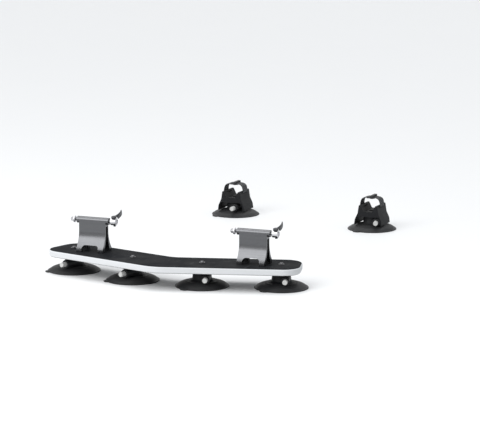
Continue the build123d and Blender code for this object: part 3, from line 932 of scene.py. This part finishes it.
def knurl(radius, height, angle):
    """Diamond knurl on the flange: two crossing helical waves cut into the radius."""
    flange = (radius > nut_radius - 0.0006) * 1.0
    turns, climb = 20 * angle, 2600 * height
    first, second = np.abs(np.sin(turns + climb)), np.abs(np.sin(turns - climb))
    return radius - flange * 0.00035 * (1 - np.minimum(first, second))


def make_nut(side):
    """Round skewer nut: knurled flange towards the fork, tapered neck, domed end."""
    end, waist = nut_length, nut_flange
    flank = np.linspace(0.0007, waist - 0.0006, 16)
    corners = [(0.00256, 0.0), (nut_radius - 0.0008, 0.0)] + [(nut_radius, z) for z in flank] + [
        (nut_radius - 0.0009, waist), (nut_neck + 0.0004, waist + 0.0008), (nut_neck, waist + 0.002),
        (nut_neck - 0.0008, end - 0.002), (nut_neck - 0.0018, end - 0.0006), (nut_neck - 0.0034, end),
        (0, end), (0, 0.012), (0.00256, 0.012),
    ]
    points = placed(lathe(corners, 160, knurl), turn(-pi / 2, "Y"), axle_place(side) - [clamp_face, 0, 0])
    grids = [(points, True, True)]
    nut = piece_from_grids(f"thumb_nut_{side}", f"nut_{side}", FINISHES["skewer"], grids, sharp=30)
    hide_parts(f"skewer_nut_{side}")


for side in SIDES:
    mount = rounded_copy(f"fork_mount_{side}", f"fork_stand_{side}", "root", FINISHES["mount"], 0.0007)
    housing = rounded_copy(
        f"skewer_cam_housing_{side}", f"cam_cup_{side}", "root", FINISHES["skewer"], 0.0005
    )
    repainted(f"skewer_rod_{side}", FINISHES["skewer"])
    make_lever(side)
    make_nut(side)


# Wheel holders

def strap_path():
    """Line of the strap in X and Z: out of one slot, up the cheek, over the rim and into the other slot."""
    half = [
        (0.0244, strap_slot), (0.0300, strap_slot), (0.0325, strap_slot + 0.0001),
        (0.0332, strap_slot + 0.0016), (0.0330, 0.0800), (0.0322, 0.0880), (0.0290, 0.0970),
        (0.0205, strap_top - 0.0010), (0.0070, strap_top),
    ]
    left = [(-x, z) for x, z in half]
    line = spaced(eased_line(left + half[::-1]), 150)
    return np.stack([line[:, 0], 0 * line[:, 0], line[:, 1]], 1)


def strap_grid(path, along, lift, half_width, half_thick):
    """Soft flat section on a path at its shares of the strap; the edges curl by a hair in a slow wave."""
    _, inward = path_frames(path, (0, 1, 0))
    out = -inward
    section = round_box_section(half_width, half_thick, 5, 56)
    points = swept(path + lift * out, np.broadcast_to([0, 1.0, 0], path.shape), out, section)
    aside = section[:, 0] / half_width
    crown = 0.0004 * (1 - aside ** 2)
    ripple = 0.00025 * np.sin(22 * along)[:, None] * aside[None, :]
    return points + (crown[None, :] + ripple)[:, :, None] * out[:, None, :]


def make_strap(spot):
    """Strap over the cradle, with its end folded back through the keeper."""
    _, middle = cup_place(spot)
    path = strap_path()
    along = np.linspace(0, 1, len(path))
    band = strap_grid(path, along, 0, strap_half_width, strap_half_thick)
    top = (np.abs(path[:, 0]) < strap_fold_half) & (path[:, 2] > strap_slot + 0.02)
    fold = strap_grid(
        path[top], along[top], strap_fold_lift, strap_half_width - 0.0004, strap_half_thick * 0.95
    )
    grids = [(placed(band, None, middle), False, True), (placed(fold, None, middle), False, True)]
    strap = piece_from_grids(
        f"rim_strap_{spot}", cup_body(spot), FINISHES["strap"], grids, measured=True, sharp=70
    )
    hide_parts(f"strap_{spot}")


def make_keeper(spot):
    """Ring round both layers of the strap: a soft section carried round a rectangle with round corners."""
    _, middle = cup_place(spot)
    outer_y = strap_half_width + keeper_gap + keeper_wall / 2
    outer_z = 2 * strap_layer_half + keeper_gap + keeper_wall / 2
    loop = round_box_section(outer_y, outer_z, 9, 160)
    path = np.stack([0 * loop[:, 0], loop[:, 0], loop[:, 1]], 1)
    ahead = np.roll(path, -1, axis=0) - np.roll(path, 1, axis=0)
    ahead /= np.linalg.norm(ahead, axis=1, keepdims=True)
    side = np.broadcast_to([1.0, 0, 0], path.shape)
    out = np.cross(ahead, side)
    section = round_box_section(keeper_half_length, keeper_wall / 2, 4.5, 28)
    ring = swept(path, side, out, section)
    place = middle + [keeper_place, 0, strap_top + strap_layer_half]
    grids = [(placed(ring, None, place), True, True)]
    keeper = piece_from_grids(f"strap_ring_{spot}", cup_body(spot), FINISHES["keeper"], grids, sharp=60)
    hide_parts(f"strap_keeper_{spot}")


for spot in REAR_CUPS:
    cradle = rounded_copy(
        f"cradle_{spot}", f"wheel_cradle_{spot}", cup_body(spot), FINISHES["cradle"], 0.0009
    )
    make_strap(spot)
    make_keeper(spot)

carried = {
    "fastener": ["pad_studs_front", "pad_stud_rear_left", "pad_stud_rear_right", "fork_mount_screws"],
    "seal": ["check_valves_front", "check_valve_rear_left", "check_valve_rear_right"],
}
for finish, names in carried.items():
    for name in names:
        repainted(name, FINISHES[finish])


# Floor, light and camera

def make_floor():
    """Wide pale floor that a camera sees as near white, with the carrier's shadow on it."""
    mesh = bpy.data.meshes.new("floor")
    half = 14.0
    corners = [(-half, -half, 0), (half, -half, 0), (half, half, 0), (-half, half, 0)]
    mesh.from_pydata(corners, [], [(0, 1, 2, 3)])
    floor = bpy.data.objects.new("floor", mesh)
    bpy.context.scene.collection.objects.link(floor)
    finish = Finish("pale_floor", (0.82, 0.82, 0.82), 0.55, specular=0.2)
    finish.roughen(finish.noise(3.0, 3.0), 0.1)
    mesh.materials.append(finish.material)


def make_world():
    """Soft grey surroundings that light the object, and plain white for the camera and for reflections."""
    world = bpy.data.worlds.new("studio")
    bpy.context.scene.world = world
    world.use_nodes = True
    tree = world.node_tree
    ambient = tree.nodes["Background"]
    ambient.inputs["Color"].default_value = (0.92, 0.96, 1.0, 1)
    ambient.inputs["Strength"].default_value = 0.55
    white = tree.nodes.new("ShaderNodeBackground")
    white.inputs["Color"].default_value = (1, 1, 1, 1)
    white.inputs["Strength"].default_value = 1.0
    rays = tree.nodes.new("ShaderNodeLightPath").outputs
    mirrored = add_math(tree, "MAXIMUM", rays["Is Glossy Ray"], rays["Is Transmission Ray"])
    mix = tree.nodes.new("ShaderNodeMixShader")
    tree.links.new(add_math(tree, "MAXIMUM", rays["Is Camera Ray"], mirrored), mix.inputs[0])
    tree.links.new(ambient.outputs[0], mix.inputs[1])
    tree.links.new(white.outputs[0], mix.inputs[2])
    tree.links.new(mix.outputs[0], tree.nodes["World Output"].inputs["Surface"])


def aim(place, target):
    """Rotation that points an object's -Z from a place at a target."""
    return (Vector(target) - Vector(place)).to_track_quat("-Z", "Y").to_euler()


def add_lamp(name, place, target, size, power):
    """Square soft light that looks at a target."""
    light = bpy.data.lights.new(name, "AREA")
    light.size = size
    light.energy = power
    lamp = bpy.data.objects.new(name, light)
    bpy.context.scene.collection.objects.link(lamp)
    lamp.location = place
    lamp.rotation_euler = aim(place, target)


def add_sun(name, place, strength, width):
    """Even light from one side of the sky, which keeps the floor white to its far end."""
    light = bpy.data.lights.new(name, "SUN")
    light.energy = strength
    light.angle = radians(width)
    lamp = bpy.data.objects.new(name, light)
    bpy.context.scene.collection.objects.link(lamp)
    lamp.rotation_euler = aim(place, (0, 0, 0))


def make_camera():
    """Camera in the photograph's direction and at its distance, with a longer lens to fill the frame."""
    azimuth, elevation, distance = radians(22.5), radians(10.3), 7.9
    low, high = np.array(cad_box[0]), np.array(cad_box[1])
    target = (low + high) / 2 + [0, 0, -0.01]
    back = np.array([sin(azimuth) * cos(elevation), -cos(azimuth) * cos(elevation), sin(elevation)])
    data = bpy.data.cameras.new("camera")
    data.sensor_width = 36.0
    data.lens = 196.0
    data.clip_end = 60.0
    camera = bpy.data.objects.new("camera", data)
    bpy.context.scene.collection.objects.link(camera)
    place = target + back * distance
    camera.location = place
    camera.rotation_euler = aim(place, target)
    bpy.context.scene.camera = camera


make_floor()
make_world()
add_sun("overhead", (-0.3, 0.3, 2.0), 1.55, 50)
add_lamp("key", (-1.4, -3.3, 2.4), (0, -0.4, 0.1), 3.2, 115)
make_camera()

scene = bpy.context.scene
scene.view_settings.view_transform = "Standard"
